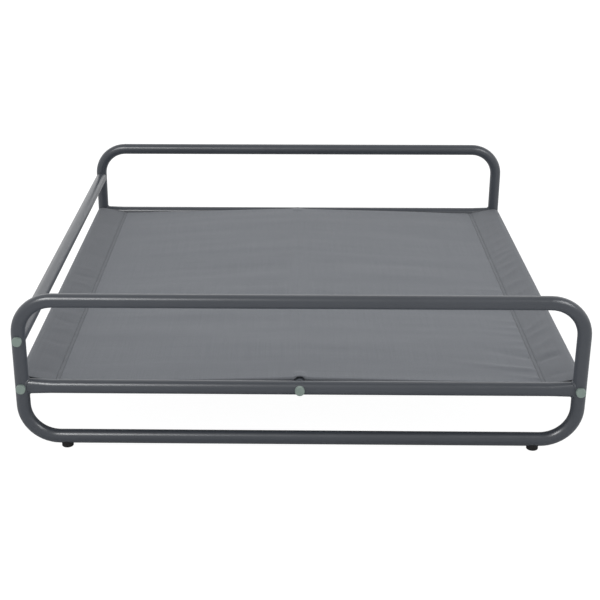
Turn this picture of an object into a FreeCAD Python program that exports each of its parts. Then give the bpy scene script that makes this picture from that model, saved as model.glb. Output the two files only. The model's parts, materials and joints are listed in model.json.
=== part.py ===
"""Raised dog bed: two tubular end loops joined by rails, with a cloth sling stretched between them.

Frame: millimetres, +Z up, front towards -Y, left towards -X. The origin lies on the floor, at the
centre of the four feet. Every size comes from the spreadsheet "dimensions" of the document.

The bed comes apart like this: each end loop carries a welded deck bar; four rails run from front to
rear and are pulled against the loops by bolts, which screw into threaded plugs in the rail ends and
are hidden by press-on caps; the sling has a sleeve along each side, through which the side rails pass.
"""
import FreeCAD, Part
import math
import os
import re
import Sketcher

DIMENSIONS = (
    # alias, value in millimetres, what it is
    ("tube_diameter", 19.0, "outside diameter of every tube"),
    ("tube_wall", 1.2, "wall of every tube"),
    ("loop_width", 750.0, "between the axes of an end loop's two uprights"),
    ("loop_rise", 200.0, "between the axes of an end loop's bottom and top bars"),
    ("loop_spacing", 770.0, "between the planes of the two end loops"),
    ("bend_radius", 47.5, "axis radius of the loops' corners"),
    ("foot_diameter", 16.0, "glide under a loop"),
    ("foot_drop", 5.0, "floor to the underside of the bottom bar"),
    ("foot_offset", 318.5, "foot's distance from the middle of the bed"),
    ("stem_diameter", 6.0, "foot's stem, which plugs into the bottom bar"),
    ("stem_hole", 6.4, "hole for the stem"),
    ("barb_diameter", 7.4, "barb that holds the stem in its hole"),
    ("barb_height", 1.6, "barb"),
    ("foot_edge", 1.0, "rounding of a foot's lower edge"),
    ("deck_height", 90.0, "floor to the axes of the deck bars and deck rails"),
    ("armrest_height", 159.5, "floor to the axis of the left top rail"),
    ("cope_relief", 3.0, "from a loop's plane to the tips of a rail's coped ends"),
    ("pressed_height", 22.0, "height of a deck bar's flattened end"),
    ("pressed_width", 15.4, "thickness of a deck bar's flattened end"),
    ("pressed_length", 40.0, "length over which a deck bar's end is flattened"),
    ("bolt_diameter", 6.0, "shank of the bolts"),
    ("bolt_hole", 6.6, "clearance hole for the bolts"),
    ("bolt_length", 40.0, "bolt under its head"),
    ("head_diameter", 10.5, "bolt head"),
    ("head_height", 3.0, "bolt head"),
    ("head_rounding", 1.8, "edge of the bolt's button head"),
    ("socket_flats", 4.0, "hexagon socket across its flats"),
    ("socket_depth", 2.0, "hexagon socket"),
    ("plug_length", 24.0, "threaded plug in a rail end"),
    ("plug_setback", 2.0, "from the loop's surface to the threaded plug"),
    ("plug_clearance", 0.1, "between a threaded plug and the bore it is pressed in"),
    ("thread_clearance", 0.05, "between a bolt and its threaded hole"),
    ("edge_break", 0.6, "chamfer on plugs and bolt tips"),
    ("cap_diameter", 13.0, "cap over a bolt head"),
    ("cap_height", 4.2, "cap above the tube's surface"),
    ("skirt_depth", 1.2, "cap below the tube's highest line"),
    ("cap_face", 1.0, "thickness of the cap's face"),
    ("cap_bore", 11.0, "room for the bolt head in the cap"),
    ("cap_rim", 0.9, "rounding of the cap's rim"),
    ("cap_stud", 3.7, "stud in the cap that presses into the hexagon socket"),
    ("stud_length", 1.8, "stud"),
    ("cloth_thickness", 1.0, "sling cloth"),
    ("cloth_clearance", 0.3, "between the cloth and the tubes"),
    ("sling_length", 745.0, "sling from front edge to rear edge"),
    ("seam_inset", 45.0, "from a side rail's axis to its sleeve's seam"),
    ("seam_height", 1.0, "seam's mid plane above the deck rails' axes"),
    ("hem_overlap", 6.0, "sleeve's lower layer inboard of the seam"),
    ("sleeve_closing", 5.0, "from the seam to the point where the sleeve opens"),
)

TOLERANCE = 1e-6

document = FreeCAD.newDocument("DogBed")
sheet = document.addObject("Spreadsheet::Sheet", "dimensions")
for row, (alias, value, meaning) in enumerate(DIMENSIONS, start=1):
    sheet.set(f"A{row}", alias)
    sheet.set(f"B{row}", str(value))
    sheet.set(f"C{row}", meaning)
    sheet.setAlias(f"B{row}", alias)
document.recompute()

SIZE = {alias: value for alias, value, meaning in DIMENSIONS}

# The sketcher's numbers for a curve's points and for the sketch's own origin and axes.
START, END, CENTRE = 1, 2, 3
ROOT = HORIZONTAL_AXIS = -1
VERTICAL_AXIS = -2

UPWARDS = FreeCAD.Vector(0, 0, 1)
SIDES = ("-", "")
FRONT, REAR = "-loop_spacing / 2", "loop_spacing / 2"
LEFT, RIGHT = "-loop_width / 2", "loop_width / 2"
TUBE_BORE = "(tube_diameter - 2 * tube_wall)"
LOOP_BOTTOM = "(foot_drop + tube_diameter / 2)"
LOOP_TOP = f"({LOOP_BOTTOM} + loop_rise)"
LOOP_BOLTS = ((LEFT, "deck_height"), (RIGHT, "deck_height"), (LEFT, "armrest_height"))


# ---------------------------------------------------------------- helpers

def linked(expression):
    """The expression with each dimension's name pointing to its cell."""
    words = re.split(r"(\w+)", expression)
    return "".join(f"dimensions.{word}" if word in SIZE else word for word in words)


def value_of(expression):
    """The number that an expression gives with the present dimensions."""
    return float(sheet.evalExpression(expression))


def constrain(sketch, kind, *references, size=None):
    """Adds a constraint; a size is an expression, which the constraint then follows."""
    if size is None:
        sketch.addConstraint(Sketcher.Constraint(kind, *references))
        return
    number = sketch.addConstraint(Sketcher.Constraint(kind, *references, value_of(size)))
    sketch.setExpression(f"Constraints[{number}]", linked(size))


def locate(sketch, geometry, point, x, y):
    """Ties a point to the sketch's origin, at the position that two expressions give."""
    if x == "0":
        constrain(sketch, "PointOnObject", geometry, point, VERTICAL_AXIS)
    else:
        constrain(sketch, "DistanceX", ROOT, START, geometry, point, size=x)
    if y == "0":
        constrain(sketch, "PointOnObject", geometry, point, HORIZONTAL_AXIS)
    else:
        constrain(sketch, "DistanceY", ROOT, START, geometry, point, size=y)


def point_at(x, y):
    return FreeCAD.Vector(value_of(x), value_of(y), 0)


def new_body(label):
    body = document.addObject("PartDesign::Body", label)
    body.Label = label
    return body


def new_sketch(body, plane, name, offset="0"):
    """A sketch on one of the body's own planes, moved along that plane's normal."""
    sketch = body.newObject("Sketcher::SketchObject", f"{body.Label}_{name}")
    origin_plane = next(f for f in body.Origin.OriginFeatures if f.Role == plane)
    sketch.AttachmentSupport = (origin_plane, "")
    sketch.MapMode = "FlatFace"
    sketch.setExpression("AttachmentOffset.Base.z", linked(offset))
    return sketch


def place(body, x="0", y="0", z="0", turned=False):
    """Puts a body where three expressions say; a turned body faces the rear of the bed."""
    angle = 180 if turned else 0
    rotation = FreeCAD.Rotation(UPWARDS, angle)
    body.Placement = FreeCAD.Placement(FreeCAD.Vector(), rotation)
    body.setExpression("Placement.Base.x", linked(x))
    body.setExpression("Placement.Base.y", linked(y))
    body.setExpression("Placement.Base.z", linked(z))


def add_circle(sketch, diameter, x="0", y="0"):
    circle = sketch.addGeometry(Part.Circle(point_at(x, y), UPWARDS, value_of(diameter) / 2))
    constrain(sketch, "Diameter", circle, size=diameter)
    locate(sketch, circle, CENTRE, x, y)


def add_oval(sketch, height, width):
    """An upright ellipse about the sketch's origin."""
    top = point_at("0", f"{height} / 2")
    side = point_at(f"{width} / 2", "0")
    ellipse = sketch.addGeometry(Part.Ellipse(top, side, FreeCAD.Vector()))
    sketch.exposeInternalGeometry(ellipse)
    major, minor = ellipse + 1, ellipse + 2
    locate(sketch, ellipse, CENTRE, "0", "0")
    constrain(sketch, "Vertical", major)
    constrain(sketch, "Distance", major, size=height)
    constrain(sketch, "Distance", minor, size=width)


def add_outline(sketch, corners):
    """A closed outline of straight sides through corners that are given as expressions."""
    count = len(corners)
    points = [point_at(x, y) for x, y in corners]
    sides = []
    for i in range(count):
        side = Part.LineSegment(points[i], points[(i + 1) % count])
        sides.append(sketch.addGeometry(side))
    for i, (x, y) in enumerate(corners):
        constrain(sketch, "Coincident", sides[i - 1], END, sides[i], START)
        locate(sketch, sides[i], START, x, y)


def pad(body, sketch, length, name, reverse=False, both_ways=False):
    feature = body.newObject("PartDesign::Pad", f"{body.Label}_{name}")
    feature.Profile = sketch
    feature.Reversed = reverse
    feature.Midplane = both_ways
    feature.setExpression("Length", linked(length))
    document.recompute()
    return feature


def pocket(body, sketch, depth, name, reverse=False, both_ways=False):
    """Cuts the sketch's outline out of the body, and stops if that takes nothing away."""
    before = body.Shape.Volume
    feature = body.newObject("PartDesign::Pocket", f"{body.Label}_{name}")
    feature.Profile = sketch
    feature.Reversed = reverse
    feature.Midplane = both_ways
    feature.setExpression("Length", linked(depth))
    document.recompute()
    if body.Shape.Volume > before - TOLERANCE:
        raise RuntimeError(f"{feature.Label} cuts nothing")


def round_edges(body, name, diameter, station, size, kind="PartDesign::Fillet"):
    """Rounds or chamfers the body's circular edges that have one diameter and lie at one station:
    a height for an upright piece, or else a distance along Y."""
    edges = []
    for number, edge in enumerate(body.Shape.Edges, start=1):
        if not isinstance(edge.Curve, Part.Circle):
            continue
        centre = edge.Curve.Center
        upright = abs(edge.Curve.Axis.z) > 0.5
        off_station = (centre.z if upright else centre.y) - value_of(station)
        off_size = 2 * edge.Curve.Radius - value_of(diameter)
        if abs(off_size) < TOLERANCE and abs(off_station) < TOLERANCE:
            edges.append(f"Edge{number}")
    base = body.Tip
    feature = body.newObject(kind, f"{body.Label}_{name}")
    feature.Base = (base, edges)
    parameter = "Radius" if kind == "PartDesign::Fillet" else "Size"
    feature.setExpression(parameter, linked(size))
    document.recompute()


# ---------------------------------------------------------------- frame

def add_loop_route(sketch):
    """The rounded rectangle that a loop's tube follows, starting in the middle of its bottom bar."""
    half = value_of("loop_width / 2")
    low = value_of(LOOP_BOTTOM)
    high = value_of(LOOP_TOP)
    radius = value_of("bend_radius")
    side = half - radius
    quarter = math.pi / 2
    straights = (
        ((0, low), (side, low)),
        ((half, low + radius), (half, high - radius)),
        ((side, high), (-side, high)),
        ((-half, high - radius), (-half, low + radius)),
        ((-side, low), (0, low)),
    )
    bend_centres = ((side, low + radius), (side, high - radius),
                    (-side, high - radius), (-side, low + radius))
    route = []
    for i, (start, end) in enumerate(straights):
        line = Part.LineSegment(FreeCAD.Vector(*start), FreeCAD.Vector(*end))
        route.append(sketch.addGeometry(line))
        if i < len(bend_centres):
            circle = Part.Circle(FreeCAD.Vector(*bend_centres[i]), UPWARDS, radius)
            bend = Part.ArcOfCircle(circle, (i - 1) * quarter, i * quarter)
            route.append(sketch.addGeometry(bend))
    for this_edge, next_edge in zip(route, route[1:]):
        constrain(sketch, "Tangent", this_edge, END, next_edge, START)
    constrain(sketch, "Coincident", route[-1], END, route[0], START)
    bottom, right_side, top, left_side = route[0], route[2], route[4], route[6]
    first_bend = route[1]
    for line in (bottom, top, route[-1]):
        constrain(sketch, "Horizontal", line)
    constrain(sketch, "Vertical", right_side)
    constrain(sketch, "Radius", first_bend, size="bend_radius")
    for bend in (route[3], route[5], route[7]):
        constrain(sketch, "Equal", first_bend, bend)
    locate(sketch, bottom, START, "0", LOOP_BOTTOM)
    constrain(sketch, "DistanceX", ROOT, START, right_side, START, size="loop_width / 2")
    constrain(sketch, "DistanceX", ROOT, START, left_side, START, size="-loop_width / 2")
    constrain(sketch, "DistanceY", ROOT, START, top, START, size=LOOP_TOP)


def end_loop(label, y):
    """A closed rounded rectangle of bent tube, pierced for three bolts and two feet."""
    body = new_body(label)
    route = new_sketch(body, "XZ_Plane", "route")
    add_loop_route(route)
    for kind, name, diameter in (("PartDesign::AdditivePipe", "tube", "tube_diameter"),
                                 ("PartDesign::SubtractivePipe", "bore", TUBE_BORE)):
        section = new_sketch(body, "YZ_Plane", f"{name}_section")
        add_circle(section, diameter, "0", LOOP_BOTTOM)
        pipe = body.newObject(kind, f"{label}_{name}")
        pipe.Profile = section
        pipe.Spine = route
        document.recompute()

    bolts = new_sketch(body, "XZ_Plane", "bolt_holes")
    for x, z in LOOP_BOLTS:
        add_circle(bolts, "bolt_hole", x, z)
    pocket(body, bolts, "2 * tube_diameter", "bolt_pocket", both_ways=True)

    stems = new_sketch(body, "XY_Plane", "foot_holes")
    for side in SIDES:
        add_circle(stems, "stem_hole", f"{side}foot_offset", "0")
    pocket(body, stems, LOOP_BOTTOM, "foot_pocket", reverse=True)
    place(body, y=y)


def deck_bar(label, y):
    """The bar welded between a loop's uprights: round, with both ends pressed to an upright oval
    and cut to the uprights' surface."""
    body = new_body(label)
    round_length = "(loop_width - 2 * pressed_length)"
    section = new_sketch(body, "YZ_Plane", "section")
    add_circle(section, "tube_diameter")
    pad(body, section, round_length, "round_part", both_ways=True)
    loft_pressed_ends(body, "PartDesign::AdditiveLoft", "pressed", "tube_diameter",
                      "pressed_height", "pressed_width")
    bore = new_sketch(body, "YZ_Plane", "bore")
    add_circle(bore, TUBE_BORE)
    pocket(body, bore, round_length, "bore_pocket", both_ways=True)
    loft_pressed_ends(body, "PartDesign::SubtractiveLoft", "hollow", TUBE_BORE,
                      "(pressed_height - 2 * tube_wall)", "(pressed_width - 2 * tube_wall)")
    copes = new_sketch(body, "XY_Plane", "copes")
    for side in SIDES:
        add_circle(copes, "tube_diameter", f"{side}loop_width / 2", "0")
    pocket(body, copes, "2 * pressed_height", "cope_pocket", both_ways=True)
    bolt = new_sketch(body, "XZ_Plane", "bolt_hole")
    add_circle(bolt, "bolt_hole")
    pocket(body, bolt, "2 * tube_diameter", "bolt_pocket", both_ways=True)
    place(body, y=y, z="deck_height")


def loft_pressed_ends(body, kind, name, diameter, height, width):
    """Goes from a circle to an upright oval at both ends of a deck bar."""
    for side in SIDES:
        word = "left" if side else "right"
        circle = new_sketch(body, "YZ_Plane", f"{name}_{word}_circle",
                            f"{side}(loop_width / 2 - pressed_length)")
        add_circle(circle, diameter)
        oval = new_sketch(body, "YZ_Plane", f"{name}_{word}_oval", f"{side}loop_width / 2")
        add_oval(oval, height, width)
        document.recompute()
        before = body.Shape.Volume
        loft = body.newObject(kind, f"{body.Label}_{name}_{word}")
        loft.Profile = circle
        loft.Sections = [oval]
        document.recompute()
        if abs(body.Shape.Volume - before) < TOLERANCE:
            raise RuntimeError(f"{loft.Label} changes nothing")


def rail(label, x, z, cope_plane="XY_Plane", notch=None):
    """A tube from loop to loop whose ends are cut to the tube that they are bolted to. A notch,
    "" towards the right or "-" towards the left, clears the deck bar in the same corner."""
    body = new_body(label)
    section = new_sketch(body, "XZ_Plane", "section")
    add_circle(section, "tube_diameter")
    add_circle(section, TUBE_BORE)
    pad(body, section, "loop_spacing - 2 * cope_relief", "tube", both_ways=True)
    copes = new_sketch(body, cope_plane, "copes")
    for side in SIDES:
        loop_axis = f"{side}loop_spacing / 2"
        if cope_plane == "XY_Plane":
            add_circle(copes, "tube_diameter", "0", loop_axis)
        else:
            add_circle(copes, "tube_diameter", loop_axis, "0")
    pocket(body, copes, "2 * tube_diameter", "cope_pocket", both_ways=True)
    if notch is not None:
        notches = new_sketch(body, "XY_Plane", "notches")
        inner = "(loop_spacing / 2 - tube_diameter / 2)"
        outer = "loop_spacing / 2"
        width = f"{notch}tube_diameter"
        for side in SIDES:
            corners = (("0", side + inner), (width, side + inner),
                       (width, side + outer), ("0", side + outer))
            add_outline(notches, corners)
        pocket(body, notches, "2 * tube_diameter", "notch_pocket", both_ways=True)
    place(body, x=x, z=z)


# ---------------------------------------------------------------- fastenings
# Each is drawn about the axis of the tube that the bolt passes through, with the bolt's head
# towards -Y, and is turned round for the rear loop.

def threaded_plug(label, x, y, z, turned):
    body = new_body(label)
    near_end = "(tube_diameter / 2 + plug_setback)"
    diameter = f"({TUBE_BORE} - 2 * plug_clearance)"
    section = new_sketch(body, "XZ_Plane", "section", f"-{near_end}")
    add_circle(section, diameter)
    add_circle(section, "bolt_diameter + 2 * thread_clearance")
    pad(body, section, "plug_length", "plug", reverse=True)
    for name, end in (("near_edge", near_end), ("far_edge", f"{near_end} + plug_length")):
        round_edges(body, name, diameter, end, "edge_break", "PartDesign::Chamfer")
    place(body, x, y, z, turned)


def bolt(label, x, y, z, turned):
    """A button-head bolt with a hexagon socket."""
    body = new_body(label)
    head = new_sketch(body, "XZ_Plane", "head", "tube_diameter / 2")
    add_circle(head, "head_diameter")
    pad(body, head, "head_height", "head_pad")
    round_edges(body, "button", "head_diameter", "-tube_diameter / 2 - head_height", "head_rounding")
    shank = new_sketch(body, "XZ_Plane", "shank", "tube_diameter / 2")
    add_circle(shank, "bolt_diameter")
    pad(body, shank, "bolt_length", "shank_pad", reverse=True)
    round_edges(body, "tip", "bolt_diameter", "bolt_length - tube_diameter / 2", "edge_break",
                "PartDesign::Chamfer")
    socket = new_sketch(body, "XZ_Plane", "socket", "tube_diameter / 2 + head_height")
    corner_radius = "socket_flats / 2 / cos(30 deg)"
    corners = []
    for i in range(6):
        angle = f"({60 * i} deg)"
        corners.append((f"{corner_radius} * cos{angle}", f"{corner_radius} * sin{angle}"))
    corners[0] = (corner_radius, "0")
    corners[3] = (f"-{corner_radius}", "0")
    add_outline(socket, corners)
    pocket(body, socket, "socket_depth", "socket_pocket")
    place(body, x, y, z, turned)


def bolt_cap(label, x, y, z, turned, tube_plane):
    """A press-on cap: a cup with a rounded rim, whose skirt follows the tube, and a stud inside."""
    body = new_body(label)
    disc = new_sketch(body, "XZ_Plane", "disc", "tube_diameter / 2 - skirt_depth")
    add_circle(disc, "cap_diameter")
    pad(body, disc, "cap_height + skirt_depth", "disc_pad")
    round_edges(body, "rim", "cap_diameter", "-tube_diameter / 2 - cap_height", "cap_rim")
    tube = new_sketch(body, tube_plane, "tube")
    add_circle(tube, "tube_diameter")
    pocket(body, tube, "2 * cap_diameter", "tube_pocket", both_ways=True)
    inner_face = "tube_diameter / 2 + cap_height - cap_face"
    cup = new_sketch(body, "XZ_Plane", "cup", inner_face)
    add_circle(cup, "cap_bore")
    pocket(body, cup, inner_face, "cup_pocket")
    stud = new_sketch(body, "XZ_Plane", "stud", inner_face)
    add_circle(stud, "cap_stud")
    pad(body, stud, "stud_length", "stud_pad", reverse=True)
    place(body, x, y, z, turned)


def foot(label, x, y):
    """A glide whose top is hollowed to the bottom bar and whose barbed stem plugs into it."""
    body = new_body(label)
    disc = new_sketch(body, "XY_Plane", "disc")
    add_circle(disc, "foot_diameter")
    pad(body, disc, LOOP_BOTTOM, "disc_pad")
    round_edges(body, "lower_edge", "foot_diameter", "0", "foot_edge")
    tube = new_sketch(body, "YZ_Plane", "tube")
    add_circle(tube, "tube_diameter", "0", LOOP_BOTTOM)
    pocket(body, tube, "2 * foot_diameter", "tube_pocket", both_ways=True)
    stem = new_sketch(body, "XY_Plane", "stem", "foot_edge")
    add_circle(stem, "stem_diameter")
    pad(body, stem, "foot_drop + tube_wall + barb_height", "stem_pad")
    barb = new_sketch(body, "XY_Plane", "barb", "foot_drop + tube_wall + barb_height")
    add_circle(barb, "barb_diameter")
    pad(body, barb, "barb_height", "barb_pad")
    place(body, x, y)


# ---------------------------------------------------------------- sling

def tangent_angle(radius, x, y, side):
    """Direction, seen from a circle's centre, of the point where the line from (x, y) touches it."""
    return math.atan2(y, x) + side * math.acos(radius / math.hypot(x, y))


def add_sleeve_bend(sketch, radius, upper, lower):
    """The stretch of outline that comes from the upper point, goes round the left deck rail and
    returns to the lower point. Gives its first and last line."""
    size = value_of(radius)
    centre = point_at("-loop_width / 2", "0")
    points = [point_at(*upper), point_at(*lower)]
    angles = []
    for point, side in zip(points, (1, -1)):
        reach = point - centre
        angles.append(tangent_angle(size, reach.x, reach.y, side))
    start, end = angles[0], angles[1] + 2 * math.pi
    arc = Part.ArcOfCircle(Part.Circle(centre, UPWARDS, size), start, end)
    going = sketch.addGeometry(Part.LineSegment(points[0], arc.StartPoint))
    bend = sketch.addGeometry(arc)
    returning = sketch.addGeometry(Part.LineSegment(arc.EndPoint, points[1]))
    constrain(sketch, "Tangent", going, END, bend, START)
    constrain(sketch, "Tangent", bend, END, returning, START)
    constrain(sketch, "Radius", bend, size=radius)
    locate(sketch, bend, CENTRE, "-loop_width / 2", "0")
    locate(sketch, going, START, *upper)
    locate(sketch, returning, END, *lower)
    return going, returning


def sling():
    """One cloth: a panel that rises to the centre rail, and a sleeve round each side rail. The left
    half is drawn, padded to the sling's length and mirrored."""
    body = new_body("sling")
    section = new_sketch(body, "XZ_Plane", "section")
    inner_radius = "(tube_diameter / 2 + cloth_clearance)"
    outer_radius = f"({inner_radius} + cloth_thickness)"
    seam_x = "(seam_inset - loop_width / 2)"
    seam_top = (seam_x, "seam_height + cloth_thickness")
    seam_bottom = (seam_x, "seam_height - cloth_thickness")
    going, returning = add_sleeve_bend(section, outer_radius, seam_top, seam_bottom)
    hem_x = f"({seam_x} + hem_overlap)"
    rise = f"hem_overlap * ({inner_radius} - seam_height) / (loop_width / 2 - seam_inset)"
    corners = (
        seam_bottom,
        (hem_x, f"seam_height - cloth_thickness + {rise}"),
        (hem_x, f"seam_height + {rise}"),
        ("0", inner_radius),
        ("0", outer_radius),
        seam_top,
    )
    previous = returning
    for start, end in zip(corners, corners[1:]):
        side = section.addGeometry(Part.LineSegment(point_at(*start), point_at(*end)))
        constrain(section, "Coincident", previous, END, side, START)
        if end is not seam_top:
            locate(section, side, END, *end)
        previous = side
    constrain(section, "Coincident", previous, END, going, START)
    opening = (f"({seam_x} - sleeve_closing)", "seam_height")
    add_sleeve_bend(section, inner_radius, opening, opening)
    panel = pad(body, section, "sling_length", "left_half", both_ways=True)
    mirrored = body.newObject("PartDesign::Mirrored", "sling_right_half")
    mirrored.Originals = [panel]
    middle = next(f for f in body.Origin.OriginFeatures if f.Role == "YZ_Plane")
    mirrored.MirrorPlane = (middle, [""])
    body.Tip = mirrored
    document.recompute()
    place(body, z="deck_height")


# ---------------------------------------------------------------- the whole bed

end_loop("front_loop", FRONT)
end_loop("rear_loop", REAR)
deck_bar("front_deck_bar", FRONT)
deck_bar("rear_deck_bar", REAR)
rail("left_top_rail", LEFT, "armrest_height")
rail("left_deck_rail", LEFT, "deck_height", notch="")
rail("right_deck_rail", RIGHT, "deck_height", notch="-")
rail("centre_deck_rail", "0", "deck_height", cope_plane="YZ_Plane")

JOINTS = (
    # name, x, z, plane across the tube that the bolt passes through
    ("left_top", LEFT, "armrest_height", "XY_Plane"),
    ("left_deck", LEFT, "deck_height", "XY_Plane"),
    ("centre_deck", "0", "deck_height", "YZ_Plane"),
    ("right_deck", RIGHT, "deck_height", "XY_Plane"),
)
for end_name, loop_y, faces_rear in (("front", FRONT, False), ("rear", REAR, True)):
    for joint_name, joint_x, joint_z, across in JOINTS:
        joint = f"{end_name}_{joint_name}"
        threaded_plug(f"{joint}_plug", joint_x, loop_y, joint_z, faces_rear)
        bolt(f"{joint}_bolt", joint_x, loop_y, joint_z, faces_rear)
        bolt_cap(f"{joint}_cap", joint_x, loop_y, joint_z, faces_rear, across)
    foot(f"{end_name}_left_foot", "-foot_offset", loop_y)
    foot(f"{end_name}_right_foot", "foot_offset", loop_y)
sling()

document.recompute()
for item in document.Objects:
    if "Invalid" in item.State or "Error" in item.State:
        raise RuntimeError(f"{item.Label} is {item.State}")
nodes = [item for item in document.Objects if item.TypeId == "PartDesign::Body"]
for node in nodes:
    shape = node.Shape
    if shape.isNull() or not shape.isValid() or len(shape.Solids) != 1:
        raise RuntimeError(f"{node.Label} is not one valid solid")
os.makedirs("parts", exist_ok=True)
for node in nodes:
    node.Shape.exportStep(f"parts/{node.Label}.step")
print(f"{len(nodes)} sub-parts written")
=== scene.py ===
"""Looks of the raised dog bed: powder-coated tube frame, stretched cloth sling, caps and feet.

Metres, in the frame's own axes: +Z up, front towards -Y, the side with the top rail towards -X.
"""
import json
import math

import bmesh
import bpy
import numpy as np
from mathutils import Matrix, Vector
from mathutils.noise import noise as perlin


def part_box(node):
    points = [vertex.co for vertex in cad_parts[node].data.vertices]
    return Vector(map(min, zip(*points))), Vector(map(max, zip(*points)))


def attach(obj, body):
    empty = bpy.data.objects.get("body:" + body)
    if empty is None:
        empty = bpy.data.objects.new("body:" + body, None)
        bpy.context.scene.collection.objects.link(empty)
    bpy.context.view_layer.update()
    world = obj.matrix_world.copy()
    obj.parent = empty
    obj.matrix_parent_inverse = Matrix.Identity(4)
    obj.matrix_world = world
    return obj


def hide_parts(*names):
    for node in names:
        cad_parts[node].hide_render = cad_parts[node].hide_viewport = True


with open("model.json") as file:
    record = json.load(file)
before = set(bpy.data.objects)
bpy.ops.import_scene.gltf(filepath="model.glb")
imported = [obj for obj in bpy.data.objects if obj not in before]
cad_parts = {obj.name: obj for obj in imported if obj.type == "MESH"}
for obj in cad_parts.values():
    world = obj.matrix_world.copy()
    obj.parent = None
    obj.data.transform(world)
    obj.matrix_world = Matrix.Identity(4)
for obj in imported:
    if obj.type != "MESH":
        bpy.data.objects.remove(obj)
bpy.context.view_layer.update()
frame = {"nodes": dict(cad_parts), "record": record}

# ---------------------------------------------------------------- places read from the frame

RAIL_LOW, RAIL_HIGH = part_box("left_deck_rail")
CENTRE_LOW, CENTRE_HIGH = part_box("centre_deck_rail")
LOOP_LOW, LOOP_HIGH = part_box("front_loop")
BAR_LOW, BAR_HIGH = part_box("front_deck_bar")

TUBE_RADIUS = (CENTRE_HIGH.z - CENTRE_LOW.z) / 2
DECK_HEIGHT = (RAIL_LOW.z + RAIL_HIGH.z) / 2
RAIL_X = -(RAIL_LOW.x + RAIL_HIGH.x) / 2
LOOP_X = LOOP_HIGH.x - TUBE_RADIUS
LOOP_Y = -(LOOP_LOW.y + LOOP_HIGH.y) / 2
SLING_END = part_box("sling")[1].y

# ---------------------------------------------------------------- small helpers


def smooth_step(low, high, value):
    """0 below low, 1 above high, and a smooth rise between them."""
    share = np.clip((value - low) / (high - low), 0.0, 1.0)
    return share * share * (3.0 - 2.0 * share)


def mesh_object(name, vertices, faces):
    mesh = bpy.data.meshes.new(name)
    mesh.from_pydata([tuple(v) for v in vertices], [], faces)
    mesh.validate()
    mesh.update()
    obj = bpy.data.objects.new(name, mesh)
    bpy.context.scene.collection.objects.link(obj)
    return obj


def shade_smooth(obj):
    obj.data.polygons.foreach_set("use_smooth", [True] * len(obj.data.polygons))
    obj.data.update()


def give_material(obj, material):
    obj.data.materials.clear()
    obj.data.materials.append(material)


# ---------------------------------------------------------------- material helpers

# The Mix node has sockets of the same name for each type of data, so they go by number.
MIX_FACTOR = 0
MIX_NUMBER_A, MIX_NUMBER_B, MIX_NUMBER_RESULT = 2, 3, 0
MIX_COLOUR_A, MIX_COLOUR_B, MIX_COLOUR_RESULT = 6, 7, 2


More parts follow.
